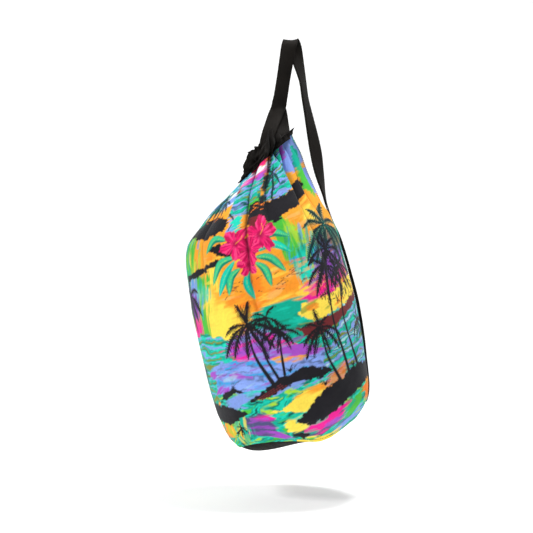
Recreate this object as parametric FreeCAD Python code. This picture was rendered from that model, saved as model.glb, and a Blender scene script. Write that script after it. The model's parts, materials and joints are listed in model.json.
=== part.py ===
"""Drawstring sling sack, hanging by its shoulder strap. Millimetres, +Z up.

The sack is laid out upright in its own local frame: u towards the strap side, v across, h up from where the
wall starts to round in to the base. place() then tilts everything as it hangs, and moves the hook point
under the strap's top to the origin.

Cloth pieces: two printed body panels, a round base, a folded casing at the mouth, two inside side-seam
bindings and a base-seam binding. One 25 mm webbing goes round inside the casing, leaves it through two slots,
doubles up over the hook and runs down the strap side, where both ends are sewn into the base seam.
"""

import math
import os

import FreeCAD, Part
from FreeCAD import Vector

os.makedirs("parts", exist_ok=True)

# Driving dimensions
HANG_TILT = 14.3  # degrees that the sack leans, base towards +X
CLOTH = 2.5  # wall of a cloth piece, doubled seams and gathers averaged in
BASE_DROP = 18.0  # how far the base bellies below its seam
BASE_FLAT_RADIUS = 55.0
BASE_BELLY = (84.0, -12.0)  # radius and height below the seam that the base's curve passes through
MOVE_GAP = 0.3  # between pieces of different bodies
PANEL_TOP = 425.0
CASING_WALL = 3.0
CASING_BUNCH = 15.0  # radial depth of the gathered casing
CASING_TOP = 455.0
WEBBING_WIDTH = 25.0
WEBBING_THICK = 1.5
LAYER_OFFSET = 1.0  # each webbing layer's distance from the middle of the pair
JOINT_GAP = 2.5  # from a hinge point to the end of each webbing piece
THREAD_RADIUS = 0.45
BINDING_WIDTH = 12.0
BINDING_THICK = 1.5
BINDING_SPAN = (-18.0, 408.0)  # heights that a side-seam binding runs between
BASE_BINDING_SPAN = (-33.0, -21.0)
BASE_BINDING_THICK = 3.5  # two seam allowances and the tape round them
BARTACK_HEIGHTS = (4, 9, 14)
BARTACK_ROW = (0.8, 20.0, 2.0)  # one row of stitches: out from the webbing, across it, up it
SLOT_WIDTH = 5.0  # of a casing slot, across the webbing's thickness
SLOT_DEPTH = 16.0
SLOT_SPARE = 3.0  # how much longer a slot is than the webbing is wide
CINCH_LAP = 14.0  # degrees that the run in the casing goes on past each slot
INSIDE_U = 8.0  # a u that is inside the sack at every height a side binding reaches
CASING_MIDDLE = (73.0, 400.0)  # u of the casing's middle, and a height below all of it
ROOM = 400.0  # cutting boxes reach past the sack by this size
SKIN_GAP = 0.2  # between layers of cloth sewn together
SHOULDER_START = 165.0  # above it the sack tapers quickly

# (height, shift of the middle towards the strap, radius, tilt of the section in degrees)
BODY_SECTIONS = [
    (-34, -6, 98, 0),
    (-22, -5, 110, 0),
    (-5, -2, 121.5, 0),
    (15, 0, 127.5, 0),
    (40, 2, 130.5, 0),
    (70, 4, 133, 0),
    (110, 7, 135.5, 0),
    (165, 8, 138, 0),
    (215, 8, 137, 0),
    (272, 12, 130.5, 0),
    (320, 16, 117, 0),
    (350, 25, 102, 3),
    (379, 36, 86, 7),
    (402, 50, 70, 12),
    (PANEL_TOP, 65, 53, 19),
]
# The casing goes on from the panels' top: (height, shift, outer radius, tilt)
CASING_SECTIONS = [
    (PANEL_TOP, 65, 52, 19),
    (440, 71, 47, 14),
    (CASING_TOP, 76, 41, 10),
]
# Webbing routes: (u, v, h, degrees that the width turns from across, v, towards u)
LOOP_ROUTE = [
    (101, 0, 512, 78),
    (109, -2, 529, 70),
    (120, -4, 555, 66),
    (132, -6, 583, 74),
    (141, -7.5, 604, 82),
    (146, -5, 612, 83),
    (148, 0, 614.5, 83),
    (150, 5, 612, 82),
    (152, 7.5, 603, 76),
    (152, 8, 580, 50),
    (151, 7, 545, 27),
    (147.5, 6, 514, 25),
    (145.8, 5, 482, 33),
    (143, 3, 426, 50),
    (140, 1, 389, 38),
    (138.6, 0, 351, 12),
]
EXIT_ANGLES = {"left": -110, "right": -52}  # where each leg leaves the casing
EXIT_START = -2.5  # where a leg starts, just under the casing's rim
# For each leg, shares of the way from its slot to the hinge: (rise, way in u, what is left of v, untwist)
EXIT_SHARES = {
    "left": [(0, 0, 1, 0), (0.12, 0.04, 1.0, 0), (0.45, 0.36, 0.82, 0.4), (0.8, 0.76, 0.32, 0.9)],
    "right": [(0, 0, 1, 0), (0.12, 0.05, 0.97, 0), (0.45, 0.4, 0.46, 0.5), (0.8, 0.8, 0.05, 1)],
}
TAIL_STANDOFF = 1.0


def spline(points, x):
    """Catmull-Rom value at x of rows whose first number rises."""
    last = len(points) - 1
    i = max(k for k in range(last) if points[k][0] <= x or k == 0)
    a, b, c, d = (points[min(max(k, 0), last)] for k in (i - 1, i, i + 1, i + 2))
    t = (x - b[0]) / (c[0] - b[0])
    values = []
    for k in range(1, len(b)):
        before = (c[k] - a[k]) / (c[0] - a[0]) * (c[0] - b[0])
        after = (d[k] - b[k]) / (d[0] - b[0]) * (c[0] - b[0])
        rise = 2 * t**3 - 3 * t**2 + 1, t**3 - 2 * t**2 + t, -2 * t**3 + 3 * t**2, t**3 - t**2
        values.append(rise[0] * b[k] + rise[1] * before + rise[2] * c[k] + rise[3] * after)
    return values


def ring(height, shift, radius, tilt):
    """A circle whose seam point lies on the strap side, in its tilted plane."""
    lean = math.radians(tilt)
    normal = Vector(-math.sin(lean), 0, math.cos(lean))
    circle = Part.Circle(Vector(shift, 0, height), normal, radius)
    circle.XAxis = Vector(math.cos(lean), 0, math.sin(lean))
    return Part.Wire([circle.toShape()])


def body_heights():
    """The heights of the lofted rings: every section, and one more between sections over the shoulder."""
    rows = [row[0] for row in BODY_SECTIONS]
    between = [(low + high) / 2 for low, high in zip(rows, rows[1:]) if low >= SHOULDER_START]
    return sorted(rows + between)


def body(inset):
    """Solid of the sack's outer shape, taken in by inset."""
    rings = []
    for height in body_heights():
        shift, radius, tilt = spline(BODY_SECTIONS, height)
        rings.append(ring(height, shift, radius - inset, tilt))
    return Part.makeLoft(rings, True, False)


def casing(inset, low, high):
    """Solid inside the casing's outer shape, taken in by inset, between two shares of its height."""
    rings = []
    for share in (low, (low + high) / 2, high):
        height = PANEL_TOP + share * (CASING_TOP - PANEL_TOP)
        shift, radius, tilt = spline(CASING_SECTIONS, height)
        rings.append(ring(height, shift, radius - inset, tilt))
    return Part.makeLoft(rings, True, False)


def half_space(side):
    """A box that holds everything on one side of the plane v = 0."""
    corner = Vector(-ROOM, 0 if side > 0 else -ROOM, -ROOM)
    return Part.makeBox(2 * ROOM, ROOM, 3 * ROOM, corner)


def place(shape):
    """From the local upright frame to the row frame: tilted, with the hook point at the origin."""
    placed = shape.copy()
    placed.translate(Vector(-HOOK_POINT.x, -HOOK_POINT.y, -HOOK_POINT.z))
    placed.rotate(Vector(0, 0, 0), Vector(0, 1, 0), -HANG_TILT)
    return placed


def save(name, shape):
    solids = shape.Solids
    if not solids or not all(s.isValid() for s in solids):
        raise SystemExit(f"{name} has no valid solid")
    out = solids[0] if len(solids) == 1 else Part.makeCompound(solids)
    place(out).exportStep(f"parts/{name}.step")
    print(f"{name}: {len(solids)} solid, {sum(s.Volume for s in solids) / 1000:.2f} cm3")


# Cloth


def panels():
    # Both shapes end in the same two rings' planes, so the cut leaves the bottom and the mouth open.
    shell = body(0).cut(body(CLOTH))
    return {
        "front_panel": shell.common(half_space(-1)),
        "back_panel": shell.common(half_space(1)),
    }


def base_panel():
    seam, shift, radius, _ = BODY_SECTIONS[0]
    rim = radius - 0.5

    def side(inset):
        flat = Vector(BASE_FLAT_RADIUS, 0, -BASE_DROP + inset)
        middle = Vector(BASE_BELLY[0] - inset * 0.4, 0, BASE_BELLY[1] + inset * 0.9)
        edge = Vector(rim - inset, 0, -MOVE_GAP)
        return flat, Part.Arc(flat, middle, edge).toShape(), edge

    flat_out, arc_out, edge_out = side(0)
    flat_in, arc_in, edge_in = side(CLOTH)
    axis_out = Vector(0, 0, -BASE_DROP)
    axis_in = Vector(0, 0, -BASE_DROP + CLOTH)
    lines = [
        Part.LineSegment(axis_out, flat_out).toShape(),
        arc_out,
        Part.LineSegment(edge_out, edge_in).toShape(),
        arc_in,
        Part.LineSegment(flat_in, axis_in).toShape(),
        Part.LineSegment(axis_in, axis_out).toShape(),
    ]
    outline = Part.Face(Part.Wire(Part.__sortEdges__(lines)))
    base = outline.revolve(Vector(0, 0, 0), Vector(0, 0, 1), 360)
    base.translate(Vector(shift, 0, seam))
    return base


def side_binding(side):
    """Tape over the seam allowance inside a side seam: side is 1 for the strap side, -1 for the other."""
    near = CLOTH + SKIN_GAP
    shell = body(near).cut(body(near + BINDING_THICK))
    low, high = BINDING_SPAN
    corner = Vector(INSIDE_U if side > 0 else INSIDE_U - ROOM, -BINDING_WIDTH / 2, low)
    cut = shell.common(Part.makeBox(ROOM, BINDING_WIDTH, high - low, corner))
    # The box also meets the other wall at the narrow neck, so only the long strip is kept.
    return max(cut.Solids, key=lambda solid: solid.Volume)


def base_binding():
    low, high = BASE_BINDING_SPAN
    near = CLOTH + SKIN_GAP
    ring_shell = body(near).cut(body(near + BASE_BINDING_THICK))
    return ring_shell.common(Part.makeBox(ROOM, ROOM, high - low, Vector(-ROOM / 2, -ROOM / 2, low)))


def ring_sector(start, stop):
    """A wedge from the casing's middle that covers the angles from start to stop, in degrees."""
    u, low = CASING_MIDDLE
    middle = Vector(u, 0, low)
    wedge = Part.makeCylinder(ROOM, ROOM, middle, Vector(0, 0, 1), stop - start)
    wedge.rotate(middle, Vector(0, 0, 1), start)
    return wedge


def exit_slot(angle):
    """The slot in the casing's top fold that one leg of the webbing comes out of."""
    shift, radius, tilt = spline(CASING_SECTIONS, CASING_TOP)
    out = radius - CASING_BUNCH / 2
    length = WEBBING_WIDTH + SLOT_SPARE
    slot = Part.makeBox(SLOT_WIDTH, length, SLOT_DEPTH, Vector(-SLOT_WIDTH / 2, -length / 2, -SLOT_DEPTH / 2))
    slot.rotate(Vector(0, 0, 0), Vector(0, 0, 1), angle)
    turn = math.radians(angle)
    height = CASING_TOP + out * math.cos(turn) * math.tan(math.radians(tilt))
    slot.translate(Vector(shift + out * math.cos(turn), out * math.sin(turn), height))
    return slot


def mouth_casing():
    strip = casing(0, 0.02, 1).cut(casing(CASING_BUNCH, -0.1, 1.1))
    tunnel = casing(CASING_WALL, 0.06, 0.93).cut(casing(CASING_BUNCH - CASING_WALL, 0.0, 1.0))
    strip = strip.cut(tunnel)
    for angle in EXIT_ANGLES.values():
        strip = strip.cut(exit_slot(angle))
    return strip


def cinch_run():
    """The webbing inside the casing, from one slot round the far side to the other."""
    half = CASING_BUNCH / 2
    band = casing(half - WEBBING_THICK / 2, 0.1, 0.8).cut(casing(half + WEBBING_THICK / 2, 0.0, 1.0))
    start = EXIT_ANGLES["right"] - CINCH_LAP
    return band.common(ring_sector(start, 360 + EXIT_ANGLES["left"] + CINCH_LAP))


# Webbing


def route_point(route, s):
    """(place, width direction) at s, which counts the route's points."""
    rows = [(i, *row) for i, row in enumerate(route)]
    u, v, h, turn = spline(rows, s)
    angle = math.radians(turn)
    return Vector(u, v, h), Vector(math.sin(angle), math.cos(angle), 0)


def ribbon(route, offset, start_trim=0.0, end_trim=0.0, per_span=3):
    """A webbing layer along a route, moved off its middle by offset along its face normal."""
    spans = len(route) - 1
    count = spans * per_span
    places = [route_point(route, spans * k / count) for k in range(count + 1)]
    middles = [p for p, _ in places]
    trims = {0: start_trim, count: -end_trim}
    sections = []
    for k, (middle, across) in enumerate(places):
        along = middles[min(k + 1, count)] - middles[max(k - 1, 0)]
        along.normalize()
        across = across - along * across.dot(along)
        across.normalize()
        out = along.cross(across)
        middle = middle + along * trims.get(k, 0.0) + out * offset
        half, thick = across * (WEBBING_WIDTH / 2), out * (WEBBING_THICK / 2)
        corners = [middle - half - thick, middle + half - thick, middle + half + thick, middle - half + thick]
        sections.append(Part.makePolygon(corners + corners[:1]))
    return Part.makeLoft(sections, True, True)


def exit_route(side):
    """From inside the casing, out through its slot and up to the hinge point over the mouth."""
    angle = EXIT_ANGLES[side]
    shift, radius, tilt = spline(CASING_SECTIONS, CASING_TOP)
    out = radius - CASING_BUNCH / 2
    turn = math.radians(angle)
    u, v = shift + out * math.cos(turn), out * math.sin(turn)
    rim = CASING_TOP + out * math.cos(turn) * math.tan(math.radians(tilt))
    last = LOOP_ROUTE[0]
    rows = []
    for rise, across, forward, untwist in EXIT_SHARES[side]:
        height = rim + EXIT_START + rise * (last[2] - rim - EXIT_START)
        width_turn = -angle + untwist * (last[3] + angle)  # at the slot the width lies along the casing
        rows.append((u + across * (last[0] - u), v * forward, height, width_turn))
    return rows + [last]


def tail_route():
    """Down the strap side, from the hinge point beside the shoulder to the base seam."""
    rows = [LOOP_ROUTE[-1], (138.2, 0, 330, 5)]
    for height in (300, 272, 240, 205, 165, 130, 95, 65, 40, 20, 4, -9):
        shift, radius, _ = spline(BODY_SECTIONS, height)
        rows.append((shift + radius + TAIL_STANDOFF + LAYER_OFFSET + WEBBING_THICK / 2, 0, height, 0))
    return rows


def hook_point():
    """The underside of the webbing pair at the top of the loop."""
    top = LOOP_ROUTE[6]
    return Vector(top[0], top[1], top[2] - LAYER_OFFSET - WEBBING_THICK / 2)


def stitch_ring(sections, height, stand):
    """A line of lockstitch round the sack, as one thin ring of thread on the cloth."""
    shift, radius, tilt = spline(sections, height)
    lean = math.radians(tilt)
    normal = Vector(-math.sin(lean), 0, math.cos(lean))
    return Part.makeTorus(radius + stand, THREAD_RADIUS, Vector(shift, 0, height), normal)


def bartack():
    """The block of stitches that ties both webbing ends to the base seam."""
    out, across, up = BARTACK_ROW
    rows = []
    for height in BARTACK_HEIGHTS:
        shift, radius, _ = spline(BODY_SECTIONS, height)
        outer_face = shift + radius + TAIL_STANDOFF + 2 * LAYER_OFFSET + WEBBING_THICK
        rows.append(Part.makeBox(out, across, up, Vector(outer_face + out / 2, -across / 2, height)))
    return Part.makeCompound(rows)


HOOK_POINT = hook_point()

pieces = panels()
pieces["base_panel"] = base_panel()
pieces["side_seam_binding_strap_side"] = side_binding(1)
pieces["side_seam_binding_far_side"] = side_binding(-1)
pieces["base_seam_binding"] = base_binding()
pieces["mouth_casing"] = mouth_casing()
pieces["strap_cinch_run"] = cinch_run()
pieces["strap_exit_left"] = ribbon(exit_route("left"), -LAYER_OFFSET, 0, JOINT_GAP)
pieces["strap_exit_right"] = ribbon(exit_route("right"), LAYER_OFFSET, 0, JOINT_GAP)
pieces["strap_loop_front"] = ribbon(LOOP_ROUTE, -LAYER_OFFSET, JOINT_GAP, JOINT_GAP)
pieces["strap_loop_rear"] = ribbon(LOOP_ROUTE, LAYER_OFFSET, JOINT_GAP, JOINT_GAP)
pieces["strap_tail_outer"] = ribbon(tail_route(), LAYER_OFFSET, JOINT_GAP, 0)
pieces["strap_tail_inner"] = ribbon(tail_route(), -LAYER_OFFSET, JOINT_GAP, 0)
pieces["casing_stitching"] = stitch_ring(CASING_SECTIONS, PANEL_TOP + 4, THREAD_RADIUS + 0.1)
pieces["anchor_bartack"] = bartack()

for name, shape in pieces.items():
    save(name, shape)
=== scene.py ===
"""Looks of the drawstring sling sack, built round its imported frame.

Lengths are millimetres in the sack's own upright frame, as in the CAD source: u towards the strap side,
v across, h up. place() tilts them as the sack hangs and gives metres in the row's frame.

On the printed cloth, a runs across a panel from its middle,
and b runs up the cloth from where the wall starts
to round in to the base.
"""

import json
import math

import bpy
import numpy as np
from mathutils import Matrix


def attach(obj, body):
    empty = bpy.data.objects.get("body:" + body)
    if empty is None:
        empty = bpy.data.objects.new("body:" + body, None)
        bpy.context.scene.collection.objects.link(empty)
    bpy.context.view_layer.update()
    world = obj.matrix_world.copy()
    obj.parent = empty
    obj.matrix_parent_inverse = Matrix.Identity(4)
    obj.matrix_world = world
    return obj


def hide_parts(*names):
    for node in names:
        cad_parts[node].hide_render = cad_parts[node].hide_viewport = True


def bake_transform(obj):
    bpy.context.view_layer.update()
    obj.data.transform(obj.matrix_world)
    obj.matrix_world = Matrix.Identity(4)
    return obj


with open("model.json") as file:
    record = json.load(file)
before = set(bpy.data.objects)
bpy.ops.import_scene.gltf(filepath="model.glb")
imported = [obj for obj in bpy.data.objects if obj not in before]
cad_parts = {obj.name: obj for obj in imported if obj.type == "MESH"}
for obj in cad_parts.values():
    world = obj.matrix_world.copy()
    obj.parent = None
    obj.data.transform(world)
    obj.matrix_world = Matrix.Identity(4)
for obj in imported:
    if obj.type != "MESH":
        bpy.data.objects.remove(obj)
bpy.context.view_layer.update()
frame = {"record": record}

# The frame: how the sack hangs, and its hinge
MOUNTS = {mount["name"]: mount for mount in frame["record"]["mounts"]}
REST_NORMAL = MOUNTS["base_rest"]["axis"]
TILT_COS, TILT_SIN = -REST_NORMAL[2], REST_NORMAL[0]
HOOK = np.array([148.0, 0.0, 612.75])  # the strap's underside over the hook
HINGE = frame["record"]["behaviour"]["joints"][0]

# The sack's shape: (height, shift towards the strap, radius, tilt of the section in degrees)
BODY_SECTIONS = [
    (-34, -6, 98, 0), (-22, -5, 110, 0), (-5, -2, 121.5, 0), (15, 0, 127.5, 0), (40, 2, 130.5, 0),
    (70, 4, 133, 0), (110, 7, 135.5, 0), (165, 8, 138, 0), (215, 8, 137, 0), (272, 12, 130.5, 0),
    (320, 16, 117, 0), (350, 25, 102, 3), (379, 36, 86, 7), (402, 49, 71, 13), (425, 60, 58, 21),
    (438, 66, 52, 25),
]
CASING_SECTIONS = [(438, 66, 51, 25), (447, 70, 48, 24), (456, 75, 41, 21)]
SEAM_HEIGHT = BODY_SECTIONS[0][0]
PANEL_TOP = BODY_SECTIONS[-1][0] - 1.0
CUT_RADIUS = 138.0  # the cloth tube's radius before it is gathered
BASE_DROP = 18.0
HALF_TURN = math.pi

# The webbing: (u, v, h, degrees that the width turns from across, v, towards u)
WEBBING_WIDTH = 25.0
WEBBING_THICK = 1.5
LAYER_OFFSET = 1.0
LOOP_ROUTE = [
    (101, 0, 512, 78), (109, -2, 529, 70), (120, -4, 555, 66), (132, -6, 583, 74), (141, -7.5, 604, 82),
    (146, -5, 612, 83), (148, 0, 614.5, 83), (150, 5, 612, 82), (152, 7.5, 603, 76), (152, 8, 580, 50),
    (151, 7, 545, 27), (147.5, 6, 514, 25), (145.8, 5, 482, 33), (143, 3, 426, 50), (140, 1, 389, 38),
    (138.6, 0, 351, 12),
]
LEFT_LEG = [
    (64.5, -31.5, 449, 110), (66, -31.5, 457, 110), (77.6, -25.8, 477, 97), (92, -10, 499, 81),
    (101, 0, 512, 78),
]
RIGHT_LEG = [
    (96.6, -26.4, 454, 52), (96.8, -25.6, 463, 52), (98.4, -12, 481, 65), (100, -1.3, 500, 78),
    (101, 0, 512, 78),
]
TAIL_STANDOFF = 1.0

# The view and its lights, in metres and watts: (name, place, aim, size, power)
CAMERA_LENS = 85
CAMERA_SENSOR = 36
CAMERA_PLACE = (-0.0417, -2.139, -0.3817)
LIGHTS = [
    ("key", (-1.7, -1.5, 1.2), (0, 0, -0.35), (0.7, 0.7), 38),
    ("fill", (1.6, -1.9, 0.4), (0, 0, -0.35), (1.2, 1.2), 6),
    ("top", (0.3, 0.0, 1.2), (0.05, 0.05, -0.7), (0.45, 0.45), 30),
]
FLOOR_GLOW = 0.33
WORLD_LIGHT = 0.2


# Arithmetic


def along(rows, x):
    """Catmull-Rom values at x of rows whose first number rises, one array per column."""
    table = np.array(rows, float)
    x = np.asarray(x, float)
    keys = table[:, 0]
    last = len(keys) - 1
    i = np.clip(np.searchsorted(keys, x, side="right") - 1, 0, last - 1)
    a, b, c, d = (table[np.clip(i + k, 0, last)] for k in (-1, 0, 1, 2))
    span = (c - b)[..., :1]
    t = ((x - b[..., 0]) / span[..., 0])[..., None]
    before = (c - a) / (c - a)[..., :1] * span
    after = (d - b) / (d - b)[..., :1] * span
    value = (2 * t**3 - 3 * t**2 + 1) * b + (t**3 - 2 * t**2 + t) * before
    value = value + (3 * t**2 - 2 * t**3) * c + (t**3 - t**2) * after
    return [value[..., k] for k in range(1, table.shape[1])]


def rise(low, high, x):
    """0 below low, 1 above high, smooth between."""
    t = np.clip((x - low) / (high - low), 0, 1)
    return t * t * (3 - 2 * t)


def noise(x, y, seed, wrap=None):
    """Smooth noise from 0 to 1 with one cell per unit; wrap is the count of cells after which x repeats."""
    size = 64
    lattice = np.random.default_rng(seed).random((size, size))
    i, j = np.floor(x).astype(int), np.floor(y).astype(int)
    fx, fy = x - i, y - j
    fx, fy = fx * fx * (3 - 2 * fx), fy * fy * (3 - 2 * fy)
    i0, i1 = (i % (wrap or size)), ((i + 1) % (wrap or size))
    j0, j1 = j % size, (j + 1) % size
    low = lattice[i0, j0] * (1 - fx) + lattice[i1, j0] * fx
    high = lattice[i0, j1] * (1 - fx) + lattice[i1, j1] * fx
    return low * (1 - fy) + high * fy


def ripple(theta, height, waves, length, seed):
    """Noise from -1 to 1 round the sack: waves cells in a turn, length millimetres of height each."""
    return 2 * noise(theta / (2 * math.pi) * waves + waves, height / length + 20, seed, wrap=waves) - 1


def place(u, v, h):
    """Metres in the row's frame."""
    u, v, h = u - HOOK[0], v - HOOK[1], h - HOOK[2]
    rows = np.stack([TILT_COS * u - TILT_SIN * h, v + 0 * u, TILT_SIN * u + TILT_COS * h], axis=-1)
    return rows / 1000


# The sack's skin

# Valleys of the pleats: (angle, lowest height, depth, width, drift of the foot in degrees, steep side's sign)
FRONT_PLEATS = [
    (-170, 320, 20, 9, 2, 1), (-149, 250, 24, 10, 6, 1), (-127, 150, 32, 10, 27, 1), (-113, 370, 9, 6, 4, -1),
    (-93, 275, 34, 10, 14, -1), (-76, 310, 28, 9, 34, -1), (-55, 215, 26, 10, 12, -1),
    (-36, 290, 22, 9, 10, -1),
    (-16, 320, 18, 9, 4, -1),
]


def pleats():
    """The front's valleys, and seeded ones round the back."""
    rows = list(FRONT_PLEATS)
    random = np.random.default_rng(5)
    spans = [(-3, 3), (200, 330), (16, 26), (7.5, 10), (-5, 5)]
    for angle in np.arange(12, 180, 17.0):
        shift, *row = [random.uniform(*span) for span in spans]
        rows.append((angle + shift, *row, random.choice((-1, 1))))
    return rows


PLEATS = pleats()


def folds(theta, height):
    """How far the gathered cloth stands out from its smooth shape."""
    radius = along(BODY_SECTIONS, height)[1]
    lift = np.zeros(np.broadcast(theta, height).shape)
    for angle, foot, depth, width, drift, steep in PLEATS:
        reach = np.clip((height - foot) / (PANEL_TOP - foot), 0, 1)
        slide = 1 - np.exp(-np.maximum(PANEL_TOP - height, 0) / 45)
        centre = np.radians(angle + drift * slide + 1.6 * np.sin(height / 37 + angle))
        away = (theta - centre + HALF_TURN) % (2 * HALF_TURN) - HALF_TURN
        side = np.where(away * steep > 0, 0.5, 1.5)
        across = np.abs(away) * radius / (side * width * (1 + 1.1 * (1 - reach)))
        lift = lift - depth * reach**0.8 * np.exp(-(across**1.1))
    puff = rise(230, 330, height)
    lift = lift + 8.0 * puff * rise(445, 400, height) + 2.0 * puff
    gather = rise(375, 432, height)
    lift = lift + 2.4 * gather * ripple(theta, height, 46, 160, 17)
    lift = lift + 4.5 * ripple(theta, height, 5, 150, 11) * (1 - 0.5 * puff)
    lift = lift + 2.6 * ripple(theta, height, 12, 90, 12) + 1.1 * ripple(theta, height, 26, 60, 13)
    # Creases that sag between the filled body and the base seam
    slack = rise(70, 0, height)
    lift = lift + 1.5 * slack * ripple(theta + height / 300, height, 30, 16, 14)
    tuck = rise(10, SEAM_HEIGHT, height)
    lift = lift + 1.6 * tuck * ripple(theta, height, 60, 40, 15)
    lift = lift + 0.35 * ripple(theta, height, 60, 9, 16)
    # The cloth lies flat under the strap's tail.
    pressed = np.exp(-((np.sin(theta / 2) * 2 * radius / 21) ** 4))
    return lift - pressed * (np.maximum(lift, 0) + 0.4) * rise(420, 380, height)


def seam_groove(theta, depth=1.6, width=3.0):
    """The valley along the two side seams."""
    near = np.abs(np.sin(theta)) * CUT_RADIUS / width
    return -depth * np.exp(-(near**1.5))


def skin(theta, height, lift):
    """A point of the sack's wall."""
    hemmed = hem(theta) * rise(30, SEAM_HEIGHT, height)
    height = height + hemmed + 8 * strap_side(theta) * rise(385, 437, height)
    shift, radius, tilt = along(BODY_SECTIONS, height)
    lean = np.radians(tilt)
    out = (radius + lift) * np.cos(theta)
    return place(shift + out * np.cos(lean), (radius + lift) * np.sin(theta), height + out * np.sin(lean))


def hem(theta):
    """How far the base seam is pulled up, round the sack: the base shows most on the far side."""
    turns = [(-128, 36, 11.0), (-64, 26, -12.0), (-28, 14, 5.0), (60, 40, 4.0), (150, 30, -3.0)]
    lift = np.zeros(np.shape(theta))
    for angle, width, height in turns:
        away = (theta - math.radians(angle) + HALF_TURN) % (2 * HALF_TURN) - HALF_TURN
        lift = lift + height * np.exp(-((away / math.radians(width)) ** 2))
    return lift


def strap_side(theta):
    """1 at the strap's side of the neck, 0 elsewhere: there the casing sinks behind the printed cloth."""
    return np.exp(-(((np.degrees(theta) - 8) / 60) ** 2))


def cloth_heights(count):
    """Heights evenly spaced along the cloth, and how far up the cloth each is."""
    fine = np.linspace(SEAM_HEIGHT, PANEL_TOP, 1000)
    radius = along(BODY_SECTIONS, fine)[1]
    slant = np.concatenate([[0], np.cumsum(np.hypot(np.diff(fine), np.diff(radius)))])
    slant = slant - np.interp(0, fine, slant)
    up = np.linspace(slant[0], slant[-1], count)
    return np.interp(up, slant, fine), up


# The print: generic palms, shores, flowers and brushed colour


def ink(code):
    """Linear colour of an sRGB hex code."""
    rgb = np.array([int(code[k : k + 2], 16) / 255 for k in (0, 2, 4)])
    return np.where(rgb <= 0.04045, rgb / 12.92, ((rgb + 0.055) / 1.055) ** 2.4)


AMBER, ORANGE, YELLOW = ink("F5A12C"), ink("F47E1C"), ink("FADC50")
TEAL, TURQUOISE, DEEP_TEAL = ink("00A98E"), ink("14CBB0"), ink("045A54")
GREEN, OLIVE, LIME = ink("48B93C"), ink("7A8A32"), ink("A2D23C")
SKY, PERIWINKLE, SLATE = ink("3A9CD8"), ink("7D98DC"), ink("4E4E78")
PURPLE, VIOLET, MAGENTA = ink("8440A8"), ink("A24CC0"), ink("E81A92")
PINK, PALE_PINK, CRIMSON = ink("F2126E"), ink("FF5C94"), ink("B00848")
PALE_SEA, PEACH = ink("A8D4DC"), ink("F6B868")
WHITE, BROWN, JADE, PINE = ink("E6ECF4"), ink("6E2428"), ink("3CC48A"), ink("0E8468")
BLACK, NIGHT = ink("17161C"), ink("0C2E30")


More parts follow.
